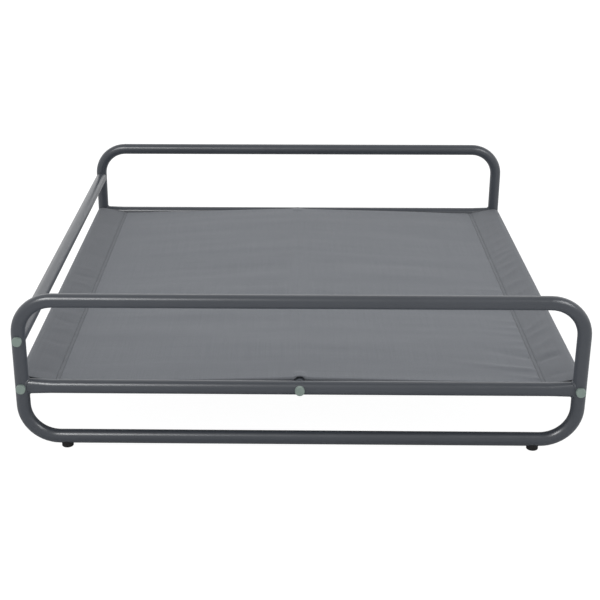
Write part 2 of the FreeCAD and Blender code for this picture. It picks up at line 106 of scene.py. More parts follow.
class Recipe:
    """A node material under construction: most methods add a node and give its output."""

    def __init__(self, name):
        self.material = bpy.data.materials.new(name)
        self.material.use_nodes = True
        self.tree = self.material.node_tree
        self.tree.nodes.clear()
        self.output = self.tree.nodes.new("ShaderNodeOutputMaterial")
        self.shader = self.tree.nodes.new("ShaderNodeBsdfPrincipled")
        self.link(self.shader.outputs["BSDF"], self.output.inputs["Surface"])

    def link(self, source, target):
        self.tree.links.new(source, target)

    def object_coordinates(self):
        return self.tree.nodes.new("ShaderNodeTexCoord").outputs["Object"]

    def noise(self, vector, scale, detail=2.0, roughness=0.5):
        node = self.tree.nodes.new("ShaderNodeTexNoise")
        node.inputs["Scale"].default_value = scale
        node.inputs["Detail"].default_value = detail
        node.inputs["Roughness"].default_value = roughness
        self.link(vector, node.inputs["Vector"])
        return node.outputs["Fac"]

    def stretched(self, vector, scale):
        """The coordinates multiplied along each axis."""
        node = self.tree.nodes.new("ShaderNodeMapping")
        node.inputs["Scale"].default_value = scale
        self.link(vector, node.inputs["Vector"])
        return node.outputs["Vector"]

    def math(self, operation, first, second=None):
        node = self.tree.nodes.new("ShaderNodeMath")
        node.operation = operation
        for socket, value in zip(node.inputs, (first, second)):
            if isinstance(value, (int, float)):
                socket.default_value = value
            elif value is not None:
                self.link(value, socket)
        return node.outputs["Value"]

    def ramp(self, factor, stops):
        """A colour by a factor, from two stops in order: each is a place from 0 to 1 and a colour."""
        node = self.tree.nodes.new("ShaderNodeValToRGB")
        for element, (place, colour) in zip(node.color_ramp.elements, stops):
            element.position = place
            element.color = (*colour, 1.0)
        self.link(factor, node.inputs["Fac"])
        return node.outputs["Color"]

    def mix(self, factor, tone, other):
        """The tone, which is an output, and another plain colour, blended by a factor."""
        node = self.tree.nodes.new("ShaderNodeMix")
        node.data_type = "RGBA"
        self.link(factor, node.inputs[MIX_FACTOR])
        self.link(tone, node.inputs[MIX_COLOUR_A])
        node.inputs[MIX_COLOUR_B].default_value = (*other, 1.0)
        return node.outputs[MIX_COLOUR_RESULT]

    def choose(self, factor, low, high):
        """The low number where the factor is 0 and the high one where it is 1."""
        node = self.tree.nodes.new("ShaderNodeMix")
        node.data_type = "FLOAT"
        self.link(factor, node.inputs[MIX_FACTOR])
        self.link(low, node.inputs[MIX_NUMBER_A])
        self.link(high, node.inputs[MIX_NUMBER_B])
        return node.outputs[MIX_NUMBER_RESULT]

    def scaled(self, value, low, high):
        """A factor from 0 to 1 spread over low to high."""
        node = self.tree.nodes.new("ShaderNodeMapRange")
        node.inputs["To Min"].default_value = low
        node.inputs["To Max"].default_value = high
        self.link(value, node.inputs["Value"])
        return node.outputs["Result"]

    def bump(self, heights):
        """Chains bumps; each is a height output, a strength and a distance in metres."""
        normal = None
        for height, strength, distance in heights:
            node = self.tree.nodes.new("ShaderNodeBump")
            node.inputs["Strength"].default_value = strength
            node.inputs["Distance"].default_value = distance
            self.link(height, node.inputs["Height"])
            if normal is not None:
                self.link(normal, node.inputs["Normal"])
            normal = node.outputs["Normal"]
        self.link(normal, self.shader.inputs["Normal"])

    def set(self, **values):
        """Sets the shader's own inputs, with _ for a space in a name."""
        for name, value in values.items():
            self.shader.inputs[name.replace("_", " ")].default_value = value


# ---------------------------------------------------------------- materials


def paint_material():
    """Dark grey powder coat: a fine orange peel, a little unevenness in colour and gloss."""
    recipe = Recipe("powder_coat")
    place = recipe.object_coordinates()
    cloudy = recipe.noise(place, 9.0, detail=3.0)
    grain = recipe.noise(place, 1500.0, detail=2.0, roughness=0.6)
    tone = recipe.ramp(cloudy, [(0.3, (0.066, 0.074, 0.088)), (0.7, (0.074, 0.083, 0.099))])
    colour = recipe.mix(recipe.scaled(grain, 0.0, 0.5), tone, (0.086, 0.096, 0.114))
    recipe.link(colour, recipe.shader.inputs["Base Color"])
    gloss = recipe.noise(place, 35.0, detail=4.0)
    recipe.link(recipe.scaled(gloss, 0.27, 0.35), recipe.shader.inputs["Roughness"])
    peel = recipe.noise(place, 420.0, detail=1.0)
    recipe.bump([(peel, 0.35, 0.00012), (grain, 0.25, 0.00005)])
    recipe.set(IOR=1.5)
    return recipe.material


def steel_material():
    """Zinc-plated steel: bright, with fine turning marks round the bolt's own axis."""
    recipe = Recipe("zinc_plate")
    place = recipe.object_coordinates()
    cloudy = recipe.noise(place, 160.0, detail=4.0)
    tone = recipe.ramp(cloudy, [(0.3, (0.50, 0.51, 0.53)), (0.7, (0.62, 0.63, 0.64))])
    recipe.link(tone, recipe.shader.inputs["Base Color"])
    marks = recipe.noise(recipe.stretched(place, (300.0, 4000.0, 300.0)), 1.0, detail=2.0)
    recipe.link(recipe.scaled(marks, 0.25, 0.45), recipe.shader.inputs["Roughness"])
    recipe.bump([(marks, 0.3, 0.00003)])
    recipe.set(Metallic=1.0)
    return recipe.material


def cap_material():
    """Satin sage-green plastic with a fine moulded grain."""
    recipe = Recipe("cap_plastic_sage")
    place = recipe.object_coordinates()
    cloudy = recipe.noise(place, 220.0, detail=3.0)
    tone = recipe.ramp(cloudy, [(0.3, (0.266, 0.340, 0.307)), (0.7, (0.297, 0.374, 0.337))])
    recipe.link(tone, recipe.shader.inputs["Base Color"])
    grain = recipe.noise(place, 3200.0, detail=2.0)
    recipe.link(recipe.scaled(grain, 0.42, 0.56), recipe.shader.inputs["Roughness"])
    recipe.bump([(grain, 0.25, 0.00005)])
    recipe.set(IOR=1.48)
    return recipe.material


def foot_material():
    """Black moulded plastic, dulled by dust."""
    recipe = Recipe("foot_plastic_black")
    place = recipe.object_coordinates()
    dust = recipe.noise(place, 300.0, detail=5.0, roughness=0.7)
    tone = recipe.ramp(dust, [(0.35, (0.008, 0.008, 0.009)), (0.75, (0.022, 0.021, 0.021))])
    recipe.link(tone, recipe.shader.inputs["Base Color"])
    recipe.link(recipe.scaled(dust, 0.45, 0.75), recipe.shader.inputs["Roughness"])
    grain = recipe.noise(place, 2600.0, detail=2.0)
    recipe.bump([(grain, 0.4, 0.00008)])
    recipe.set(Specular_IOR_Level=0.35)
    return recipe.material


CLOTH_UV, HEM_SHADE_ATTRIBUTE = "cloth", "hem"
CLOTH_DARK, CLOTH_LIGHT = (0.174, 0.187, 0.211), (0.207, 0.223, 0.249)
# Painted shade on the cloth between each seam and its rail and on the turned edges: how far its colour
# goes towards the dark colour.
HEM_SHADE, HEM_SHADE_COLOUR = 0.18, (0.03, 0.032, 0.036)
THREAD_PITCH = 0.0009


def darker(colour, share):
    return tuple(share * level for level in colour)


def woven_height(recipe, across, along):
    """Height of a plain weave: warp and weft threads that pass over each other in turn."""
    frequency = math.pi / THREAD_PITCH
    warp_wave = recipe.math("SINE", recipe.math("MULTIPLY", across, frequency))
    weft_wave = recipe.math("SINE", recipe.math("MULTIPLY", along, frequency))
    crossing = recipe.math("MULTIPLY", warp_wave, weft_wave)
    warp_round = recipe.math("ABSOLUTE", warp_wave)
    weft_round = recipe.math("ABSOLUTE", weft_wave)
    warp_on_top = recipe.math("GREATER_THAN", crossing, 0.0)
    return recipe.choose(warp_on_top, weft_round, warp_round)


def cloth_material():
    """Coated plain-weave cloth: threads of slightly uneven tone, dull, with a soft sheen.

    It has painted shade where the mesh attribute says so: full between each seam and its rail, where
    the cloth lies in two layers, and less on the turned edges. The hollows between the threads get
    painted shade as well.
    """
    recipe = Recipe("sling_cloth_grey")
    uv = recipe.tree.nodes.new("ShaderNodeUVMap")
    uv.uv_map = CLOTH_UV
    split = recipe.tree.nodes.new("ShaderNodeSeparateXYZ")
    recipe.link(uv.outputs["UV"], split.inputs["Vector"])
    place = recipe.object_coordinates()
    weave = woven_height(recipe, split.outputs["X"], split.outputs["Y"])
    warp_tone = recipe.noise(recipe.stretched(uv.outputs["UV"], (900.0, 9.0, 1.0)), 1.0, detail=2.0)
    weft_tone = recipe.noise(recipe.stretched(uv.outputs["UV"], (9.0, 900.0, 1.0)), 1.0, detail=2.0)
    threads = recipe.math("MULTIPLY", recipe.math("ADD", warp_tone, weft_tone), 0.5)
    tone = recipe.ramp(threads, [(0.38, CLOTH_DARK), (0.62, CLOTH_LIGHT)])
    mottle = recipe.noise(place, 14.0, detail=4.0)
    tone = recipe.mix(recipe.scaled(mottle, 0.0, 0.35), tone, darker(CLOTH_DARK, 0.88))
    # Painted shade in the hollows between the threads, where the weave is low.
    weave_hollow_shade = recipe.math("SUBTRACT", 1.0, weave)
    tone = recipe.mix(recipe.math("MULTIPLY", weave_hollow_shade, 0.25), tone, darker(CLOTH_DARK, 0.6))
    # Painted shade, weighted by the mesh attribute: full between each seam and its rail, less on the
    # turned edges.
    hem = recipe.tree.nodes.new("ShaderNodeAttribute")
    hem.attribute_name = HEM_SHADE_ATTRIBUTE
    shade = recipe.math("MULTIPLY", hem.outputs["Fac"], HEM_SHADE)
    tone = recipe.mix(shade, tone, HEM_SHADE_COLOUR)
    recipe.link(tone, recipe.shader.inputs["Base Color"])
    recipe.link(recipe.scaled(threads, 0.72, 0.9), recipe.shader.inputs["Roughness"])
    fibres = recipe.noise(place, 2400.0, detail=3.0)
    recipe.bump([(weave, 0.5, 0.00016), (fibres, 0.3, 0.00005)])
    recipe.set(Sheen_Weight=0.15, Sheen_Roughness=0.5, IOR=1.45)
    return recipe.material


def thread_material():
    """Grey sewing thread with its twist."""
    recipe = Recipe("sewing_thread")
    place = recipe.object_coordinates()
    twist = recipe.tree.nodes.new("ShaderNodeTexWave")
    twist.bands_direction = "DIAGONAL"
    twist.inputs["Scale"].default_value = 900.0
    recipe.link(place, twist.inputs["Vector"])
    strands = twist.outputs["Fac"]
    tone = recipe.ramp(strands, [(0.2, (0.07, 0.075, 0.083)), (0.8, (0.12, 0.128, 0.14))])
    recipe.link(tone, recipe.shader.inputs["Base Color"])
    recipe.bump([(strands, 0.5, 0.00006)])
    recipe.set(Roughness=0.7)
    return recipe.material


# ---------------------------------------------------------------- the sling

# The cross-section. CLOTH is the cloth's thickness. The other sizes are for the cloth's middle, and
# heights start at the deck rails' axes.
CLOTH = 0.0009
TUBE_GAP, BAR_GAP = 0.0003, 0.0004
SLEEVE_RADIUS = TUBE_RADIUS + TUBE_GAP + CLOTH / 2
RIDGE_RISE = SLEEVE_RADIUS
SEAM_X, SEAM_RISE = RAIL_X - 0.045, 0.0015
SEAM_LAYERS, HEM_LAYERS = 1.02 * CLOTH, 1.15 * CLOTH
TAIL = 0.006
STITCH_LINES = (SEAM_X - 0.0025, SEAM_X + 0.0025)
GROOVE_DEPTH, GROOVE_WIDTH = 0.00085, 0.0010

# The front and rear edges: how far the cloth goes, and the turned hem along the panel.
CLOTH_END = SLING_END + 0.0015
SLEEVE_END = SLING_END + 0.0026
BAR_CLEARANCE = TUBE_RADIUS + CLOTH / 2 + BAR_GAP
EDGE_LIMIT, EDGE_LIMIT_OVER_RAIL = LOOP_Y - 0.0080, LOOP_Y - 0.0105
BESIDE_RAIL_START, BESIDE_RAIL_FULL = 0.0035, 0.0085
EDGE_ZONE = 0.030
HEM_ROUND, HEM_FLAT = 0.0024, 0.0005
HEM_SWELL_START, HEM_SWELL_FULL = 0.0032, 0.0088
HEM_SLIMS, HEM_END = SEAM_X - 0.040, SEAM_X - 0.008
HEM_TURN, HEM_TURN_STEPS = math.radians(205), 10
HEM_RETURN, HEM_RETURN_STEPS = 0.012, 4
HEM_LIFT_START, HEM_LIFT_FULL = 0.018, 0.010
HEM_LIFT_WIDTH, HEM_LIFT_END = 0.005, 0.010
# Share of the painted hem shade on the turned front and rear edges.
TURNED_EDGE_SHADE = 0.6


class Profile:
    """The sling's cross-section from the ridge to the end of the right sleeve's lower layer.

    It tells where the cloth's middle lies after a length of cloth from the ridge, and its normal.
    """

    def __init__(self):
        seam = Vector((SEAM_X, SEAM_RISE))
        ridge = Vector((0.0, RIDGE_RISE))
        rail = Vector((RAIL_X, 0.0))
        lower_seam = seam - Vector((0.0, SEAM_LAYERS))
        tail_end = lower_seam + Vector((-TAIL, TAIL * (RIDGE_RISE - SEAM_RISE) / SEAM_X))
        start = self.tangent_angle(seam - rail, -1)
        end = self.tangent_angle(lower_seam - rail, 1)
        if end > start:
            end -= 2 * math.pi
        self.rail = rail
        self.start_angle = start
        touch = rail + self.on_circle(start)
        leave = rail + self.on_circle(end)
        self.runs = [
            # name, start, end, length of cloth
            ("panel", ridge, seam, (seam - ridge).length),
            ("hem", seam, touch, (touch - seam).length),
            ("sleeve", touch, leave, SLEEVE_RADIUS * (start - end)),
            ("under", leave, lower_seam, (lower_seam - leave).length),
            ("tail", lower_seam, tail_end, (tail_end - lower_seam).length),
        ]
        self.sizes = [run[3] for run in self.runs]
        self.ends = np.cumsum(self.sizes)

    @staticmethod
    def tangent_angle(reach, side):
        """Direction, from the rail's axis, of the point where a line from reach touches the sleeve."""
        return math.atan2(reach.y, reach.x) + side * math.acos(SLEEVE_RADIUS / reach.length)

    @staticmethod
    def on_circle(angle):
        return Vector((SLEEVE_RADIUS * math.cos(angle), SLEEVE_RADIUS * math.sin(angle)))

    def at(self, length):
        """(x, z, normal x, normal z, run name) after that length of cloth from the ridge."""
        index = min(int(np.searchsorted(self.ends, length - 1e-9)), len(self.runs) - 1)
        name, start, end, size = self.runs[index]
        done = length - (self.ends[index] - size)
        if name == "sleeve":
            angle = self.start_angle - done / SLEEVE_RADIUS
            place = self.rail + self.on_circle(angle)
            normal = Vector((math.cos(angle), math.sin(angle)))
        else:
            direction = (end - start) / size
            place = start + direction * done
            normal = Vector((-direction.y, direction.x))
        return place.x, place.y, normal.x, normal.y, name


def cloth_stations(profile):
    """Lengths from the ridge at which the cloth has a row of points, closest at the seam."""
    seam, touch, leave, lower_seam, tail_end = profile.ends
    ridge_zone, plain_zone, seam_zone = 0.016, 0.190, 0.006
    stretches = (
        # end, number of rows in the stretch
        (ridge_zone, 8),
        (plain_zone, 16),
        (seam - seam_zone, 24),
        (seam + seam_zone, 16),
        (touch, 11),
        (leave, 16),
        (lower_seam - seam_zone, 4),
        (tail_end, 5),
    )
    rows = [0.0]
    for end, count in stretches:
        rows.extend(np.linspace(rows[-1], end, count + 1)[1:])
    return np.array(rows)


# The pucker along a seam, and the fold and the swell along the ridge.
PUCKER_RISE, PUCKER_HALF_WIDTH = 0.00050, 0.007
CREST_RISE, CREST_HALF_WIDTH = 0.00035, 0.0022
SWELL_RISE, SWELL_PLACE, SWELL_HALF_WIDTH = 0.0007, 0.002, 0.013

# How the panel's waves drift towards the corners, and how much they calm down towards the seams.
DRIFT_SLOPE, DRIFT_TURN, DRIFT_PHASE = 0.16, 3.2, 0.6
CALM_SHARE, CALM_START, CALM_FULL = 0.45, 0.18, 0.33
CALM_AT_SEAM = 0.012

# The unevenness between a seam and its rail, the bend in its creases, and the strength of both.
HEM_NOISE_RISE, HEM_NOISE_LENGTH = 0.00045, 0.055
CREASE_BEND, CREASE_STRENGTH = 0.0025, 1.25

# The panel's waves: length across, start across, length front to rear, share of the drift, slice
# of the noise and height.
PANEL_WAVES = (
    (0.26, 0.0, 0.048, 1.0, 3.7, 0.00140),
    (0.17, 4.0, 0.021, 0.7, 9.1, 0.00030),
    (0.22, 0.0, 0.200, 0.0, 21.3, 0.00140),
)

# Pulls that fan out from the right seam: y where each meets the seam, how far it reaches towards
# the middle, how much it drifts to the rear on the way, its height (below 0 for a groove) and half
# width.
FAN_PULLS = (
    (-0.357, 0.060, 0.013, 0.00170, 0.0050),
    (-0.330, 0.135, 0.026, 0.00250, 0.0064),
    (-0.288, 0.085, 0.034, -0.00190, 0.0085),
    (-0.262, 0.060, 0.012, 0.00080, 0.0060),
    (-0.236, 0.065, 0.010, 0.00085, 0.0065),
    (-0.209, 0.070, 0.010, 0.00100, 0.0060),
    (-0.184, 0.070, 0.008, 0.00110, 0.0060),
    (-0.160, 0.060, 0.008, 0.00085, 0.0060),
    (-0.108, 0.080, 0.010, 0.00060, 0.0075),
    (-0.030, 0.110, 0.008, 0.00090, 0.0090),
    (0.062, 0.070, 0.006, 0.00040, 0.0085),
)

# Creases between each seam and its rail: y at the middle of the hem, drift to the rear for each
# metre towards the rail, height (below 0 for a groove) and half width.
HEM_CREASES = {
    1: (
        (-0.352, 0.30, -0.00060, 0.0050),
        (-0.326, 0.20, 0.00050, 0.0120),
        (-0.297, 0.25, -0.00120, 0.0060),
        (-0.280, 0.40, 0.00070, 0.0085),
        (-0.247, 0.65, 0.00080, 0.0085),
        (-0.208, 0.95, 0.00100, 0.0075),
        (-0.179, 1.05, 0.00095, 0.0070),
        (-0.104, 0.60, 0.00045, 0.0095),
        (-0.047, 0.75, 0.00050, 0.0085),
        (-0.007, 0.80, 0.00090, 0.0095),
        (0.041, 0.85, 0.00085, 0.0085),
        (0.078, 0.95, 0.00085, 0.0080),
        (0.109, 0.90, 0.00075, 0.0070),
        (0.133, 0.85, 0.00065, 0.0065),
        (0.163, 0.90, 0.00050, 0.0075),
        (0.194, 0.80, 0.00045, 0.0070),
        (0.241, 0.70, 0.00035, 0.0080),
        (0.288, 0.60, 0.00030, 0.0080),
    ),
    -1: (
        (-0.351, 0.10, -0.00060, 0.0080),
        (-0.297, 0.15, -0.00055, 0.0110),
        (-0.252, 0.10, -0.00050, 0.0060),
        (-0.206, 0.05, 0.00040, 0.0080),
        (-0.174, 0.12, -0.00070, 0.0065),
        (-0.146, 0.10, 0.00050, 0.0075),
        (-0.074, 0.20, -0.00040, 0.0090),
        (-0.021, 0.15, 0.00060, 0.0075),
        (0.016, 0.20, -0.00070, 0.0070),
        (0.047, 0.10, 0.00045, 0.0080),
        (0.118, 0.15, -0.00035, 0.0090),
        (0.207, 0.10, 0.00035, 0.0100),
        (0.290, 0.10, -0.00030, 0.0090),
    ),
}


def panel_waves(x, y):
    """Long shallow waves between the side rails, which drift towards the corners."""
    drift = DRIFT_SLOPE * abs(x) * math.sin(DRIFT_TURN * y + DRIFT_PHASE)
    height = 0.0
    for across, start, along, drifting, layer, rise in PANEL_WAVES:
        height += rise * perlin((x / across + start, (y + drifting * drift) / along, layer))
    calm_at_sides = 1.0 - CALM_SHARE * smooth_step(CALM_START, CALM_FULL, abs(x))
    return calm_at_sides * height


def ridge_line(distance, half_width):
    """A smooth hump: 1 at distance 0, and nearly 0 from twice the half width on."""
    return math.exp(-(distance / half_width) ** 2)


def fan_pulls(x, y):
    """The pulls' height at a place on the right half of the panel."""
    height = 0.0
    for seam_y, reach, drift, rise, half_width in FAN_PULLS:
        along = (SEAM_X - x) / reach
        if not 0.0 <= along <= 1.0:
            continue
        middle = seam_y + drift * along ** 1.3
        width = half_width * (0.75 + 0.7 * along)
        fade = (1.0 - along) ** 1.2 * float(smooth_step(0.0, 0.10, along))
        height += rise * fade * ridge_line(y - middle, width)
    return height


def hem_wrinkles(side, across, y):
    """Uneven creases between a seam and the rail; across is 0 at the seam, 1 at the rail."""
    if not 0.0 < across < 1.0:
        return 0.0
    shape = math.sin(math.pi * across) ** 0.7
    toward_rail = (across - 0.5) * (RAIL_X - SEAM_X)
    height = HEM_NOISE_RISE * perlin((y / HEM_NOISE_LENGTH, across * 1.3, 7.7 * side))
    for middle, drift, rise, half_width in HEM_CREASES[side]:
        bend = CREASE_BEND * math.sin(5.0 * across + 90.0 * middle)
        height += rise * ridge_line(y - middle - drift * toward_rail - bend, half_width)
    return CREASE_STRENGTH * shape * height


def seam_pucker(distance, y, side):
    """The cloth rises and falls a little along a seam, where the sewing tension is uneven."""
    near = ridge_line(distance, PUCKER_HALF_WIDTH)
    wave = perlin((y / 0.021, 2.0 * side, 0.5)) + 0.6 * perlin((y / 0.011, 6.0, side))
    return PUCKER_RISE * near * wave


def stitch_groove(x):
    """The cloth dips along both rows of stitches."""
    return -sum(GROOVE_DEPTH * ridge_line(x - line, GROOVE_WIDTH) for line in STITCH_LINES)


def centre_fold(x, y):
    """The sharp trace of a packing fold on the ridge, with the cloth rounding over the rail."""
    crest = CREST_RISE * ridge_line(x, CREST_HALF_WIDTH)
    swell = SWELL_RISE * ridge_line(x - SWELL_PLACE, SWELL_HALF_WIDTH)
    return crest + swell * (0.8 + 0.4 * perlin((y / 0.12, 0.0, 8.0)))


def cloth_offset(x, y, run, across, side):
    """How far the cloth stands off its smooth cross-section, along its normal."""
    pucker = seam_pucker(x - SEAM_X, y, side)
    if run == "panel":
        calm = float(smooth_step(0.0, CALM_AT_SEAM, SEAM_X - x))
        height = panel_waves(x * side, y) * calm + pucker + stitch_groove(x)
        if side > 0:
            height += fan_pulls(x, y)
        over_rail = 1.0 - float(smooth_step(0.6 * TUBE_RADIUS, 2.5 * TUBE_RADIUS, x))
        if height < 0.0:  # no hollow where the cloth lies on the centre rail
            height -= over_rail * height
        return height + centre_fold(x, y) + hem_lift(x, y)
    if run == "hem":
        return hem_wrinkles(side, across, y) + pucker + stitch_groove(x)
    if run == "sleeve":
        return 0.0
    return -pucker


def edge_rows():
    """Y stations of the cloth from its front edge to its rear edge, closer near both edges."""
    near, near_rows, middle_rows = 0.016, 9, 195
    front = np.linspace(-CLOTH_END, -CLOTH_END + near, near_rows)
    middle = np.linspace(-CLOTH_END + near, CLOTH_END - near, middle_rows)[1:-1]
    return np.concatenate([front, middle, -front[::-1]])


def hem_radius(x):
    """Radius of the turned hem along a free edge: flat over the centre rail and at the seams."""
    swell = smooth_step(HEM_SWELL_START, HEM_SWELL_FULL, x)
    swell *= 1.0 - smooth_step(HEM_SLIMS, HEM_END, x)
    return HEM_FLAT + (HEM_ROUND - HEM_FLAT) * float(swell)


def hem_lift(x, y):
    """Over the centre rail the doubled hem holds the cloth up by its own thickness."""
    over_rail = 1.0 - smooth_step(HEM_LIFT_WIDTH, HEM_LIFT_END, x)
    near_edge = smooth_step(CLOTH_END - HEM_LIFT_START, CLOTH_END - HEM_LIFT_FULL, abs(y))
    return 2.0 * HEM_FLAT * float(over_rail * near_edge)


def edge_distance(x, z):
    """How far from the middle a free edge ends: as near the deck bar as its height allows."""
    if x > SEAM_X:
        return SLEEVE_END
    height = min(abs(z - hem_radius(x)), BAR_CLEARANCE)
    touching = LOOP_Y - math.sqrt(BAR_CLEARANCE ** 2 - height ** 2)
    beside_rail = float(smooth_step(BESIDE_RAIL_START, BESIDE_RAIL_FULL, x))
    limit = EDGE_LIMIT_OVER_RAIL + (EDGE_LIMIT - EDGE_LIMIT_OVER_RAIL) * beside_rail
    return min(touching, limit)


def edge_shift(x, z, y):
    """Y of a row of the cloth, after the rows near the edge make room for the hem."""
    flat_end = edge_distance(x, z)
    if x <= HEM_END:
        flat_end -= hem_radius(x)
    share = float(smooth_step(CLOTH_END - EDGE_ZONE, CLOTH_END, abs(y)))
    return math.copysign(abs(y) + (flat_end - CLOTH_END) * share, y)


def hem_path(radius):
    """The turned edge in its own plane: (distance in from the edge, depth below the cloth)."""
    path = []
    for i in range(1, HEM_TURN_STEPS + 1):
        angle = HEM_TURN * i / HEM_TURN_STEPS
        path.append((radius - radius * math.sin(angle), radius - radius * math.cos(angle)))
    reach, depth = path[-1]
    for i in range(1, HEM_RETURN_STEPS + 1):
        share = i / HEM_RETURN_STEPS
        path.append((
            reach + share * (HEM_RETURN - reach),
            depth + (HEM_LAYERS - depth) * share,
        ))
    return path


class Sheet:
    """Points, cloth coordinates and faces of the sling's middle surface, collected as it grows."""

    def __init__(self):
        self.points = []
        self.coordinates = []
        self.doubled = []
        self.faces = []

    def add(self, point, coordinate, doubled):
        """Adds a point and gives its number; doubled is the weight of the painted shade there, up to 1
        where two layers lie together.
        """
        self.points.append(point)
        self.coordinates.append(coordinate)
        self.doubled.append(doubled)
        return len(self.points) - 1

    def add_turned_edge(self, edge, end):
        """Grows the turned hem from an edge's points, given as (length, point number) in order."""
        previous = None
        for length, start in edge:
            x, y, z = self.points[start]
            radius = hem_radius(abs(x))
            column = [start]
            for reach, depth in hem_path(radius):
                point = (x, y + end * (radius - reach), z - depth)
                along = end * (CLOTH_END + reach + depth)
                column.append(self.add(point, (length, along), TURNED_EDGE_SHADE))
            if previous is not None:
                for k in range(len(column) - 1):
                    quad = (previous[k], column[k], column[k + 1], previous[k + 1])
                    self.faces.append(quad if end > 0 else quad[::-1])
            previous = column


def grow_panel(sheet):
    """The cloth from sleeve to sleeve. Gives the points of its two free edges."""
    profile = Profile()
    half = cloth_stations(profile)
    lengths = np.concatenate([-half[:0:-1], half])
    rows = edge_rows()
    panel_size, hem_size = profile.sizes[:2]
    count = len(rows)
    edges = {-1: [], 1: []}
    for length in lengths:
        side = 1 if length >= 0 else -1
        x, z, normal_x, normal_z, run = profile.at(abs(length))
        across = (abs(length) - panel_size) / hem_size
        # Weight of the painted shade: none on the panel inside the stitches, full from there to the
        # sleeve's end.
        hem_shade_weight = 0.0 if run == "panel" and x < STITCH_LINES[0] else 1.0
        for y in rows:
            offset = cloth_offset(x, float(y), run, across, side)
            point = (
                side * (x + offset * normal_x),
                edge_shift(x, z, float(y)),
                DECK_HEIGHT + z + offset * normal_z,
            )
            sheet.add(point, (float(length), float(y)), hem_shade_weight)
        if run == "panel" and x <= HEM_END:
            last = len(sheet.points) - 1
            edges[-1].append((float(length), last - count + 1))
            edges[1].append((float(length), last))
    for i in range(len(lengths) - 1):
        for j in range(count - 1):
            first = i * count + j
            sheet.faces.append((first, first + count, first + count + 1, first + 1))
    return edges


def make_sling(material):
    """The whole cloth, with the map and the attribute that its material reads."""
    sheet = Sheet()
    edges = grow_panel(sheet)
    for end, edge in edges.items():
        sheet.add_turned_edge(edge, end)
    sling = mesh_object("sling_cloth", sheet.points, sheet.faces)
    layer = sling.data.uv_layers.new(name=CLOTH_UV)
    for loop in sling.data.loops:
        layer.data[loop.index].uv = sheet.coordinates[loop.vertex_index]
    # The attribute holds the weight of the painted shade on the cloth.
    hem = sling.data.attributes.new(HEM_SHADE_ATTRIBUTE, "FLOAT", "POINT")
    hem.data.foreach_set("value", sheet.doubled)
    shade_smooth(sling)
    give_material(sling, material)
    thick = sling.modifiers.new("cloth thickness", "SOLIDIFY")
    thick.thickness = CLOTH
    thick.offset = 0.0
    thick.use_even_offset = True
    return sling


STITCH_PITCH, STITCH_LENGTH, THREAD_RADIUS = 0.0037, 0.0031, 0.00030
STITCH_SIDES, STITCH_RINGS = 6, 6
STITCH_MARGIN = 0.004
# In thread radii: how high a stitch's middle arches from its ends, how deep they lie, and their size.
STITCH_ARCH, STITCH_SINK, STITCH_TIP = 1.5, 0.9, 0.55


def add_stitch(vertices, faces, start, end, lift):
    """One stitch: a short thread that dips into the cloth at both ends."""
    sides, rings = STITCH_SIDES, STITCH_RINGS
    start, end, lift = Vector(start), Vector(end), Vector(lift)
    along = (end - start).normalized()
    across = along.cross(lift).normalized()
    first = len(vertices)
    for i in range(rings):
        share = i / (rings - 1)
        arch = math.sin(math.pi * share)
        middle = start.lerp(end, share) + lift * (THREAD_RADIUS * (STITCH_ARCH * arch - STITCH_SINK))
        size = THREAD_RADIUS * (STITCH_TIP + (1.0 - STITCH_TIP) * math.sqrt(arch))
        for k in range(sides):
            angle = 2 * math.pi * k / sides
            ring = across * math.cos(angle) + lift * math.sin(angle)
            vertices.append(middle + ring * size)
    for i in range(rings - 1):
        for k in range(sides):
            a = first + i * sides + k
            b = first + i * sides + (k + 1) % sides
            faces.append((a, b, b + sides, a + sides))
    last = first + (rings - 1) * sides
    faces.append(tuple(range(first + sides - 1, first - 1, -1)))
    faces.append(tuple(range(last, last + sides)))


def make_stitches(side, material):
    """The two rows of lockstitch that close one sleeve, as they show on top of the cloth."""
    profile = Profile()
    vertices = []
    faces = []
    word = "right" if side > 0 else "left"
    end = CLOTH_END - STITCH_MARGIN
    count = int(2 * end / STITCH_PITCH)
    panel_size, hem_size = profile.sizes[:2]
    for line in STITCH_LINES:
        x, z, normal_x, normal_z, run = profile.at(panel_size + (line - SEAM_X))
        across = (line - SEAM_X) / hem_size
        normal = Vector((side * normal_x, 0.0, normal_z))
        for i in range(count):
            y = -end + i * STITCH_PITCH
            ends = []
            for station in (y, y + STITCH_LENGTH):
                offset = cloth_offset(x, station, run, across, side) + CLOTH / 2
                ends.append((
                    side * (x + offset * normal_x),
                    station,
                    DECK_HEIGHT + z + offset * normal_z,
                ))
            add_stitch(vertices, faces, ends[0], ends[1], normal)
    stitches = mesh_object(f"{word}_seam_stitches", vertices, faces)
    shade_smooth(stitches)
    give_material(stitches, material)
    return stitches


# ---------------------------------------------------------------- weld beads

BEAD_RADIUS, BEAD_RIPPLE, BEAD_RIPPLES = 0.0015, 0.00022, 26
BEAD_STATIONS, BEAD_SIDES = 156, 10
BEAD_UNEVENNESS = 0.12
PRESSED_HALF_HEIGHT = (BAR_HIGH.z - BAR_LOW.z) / 2
PRESSED_HALF_WIDTH = 0.0077


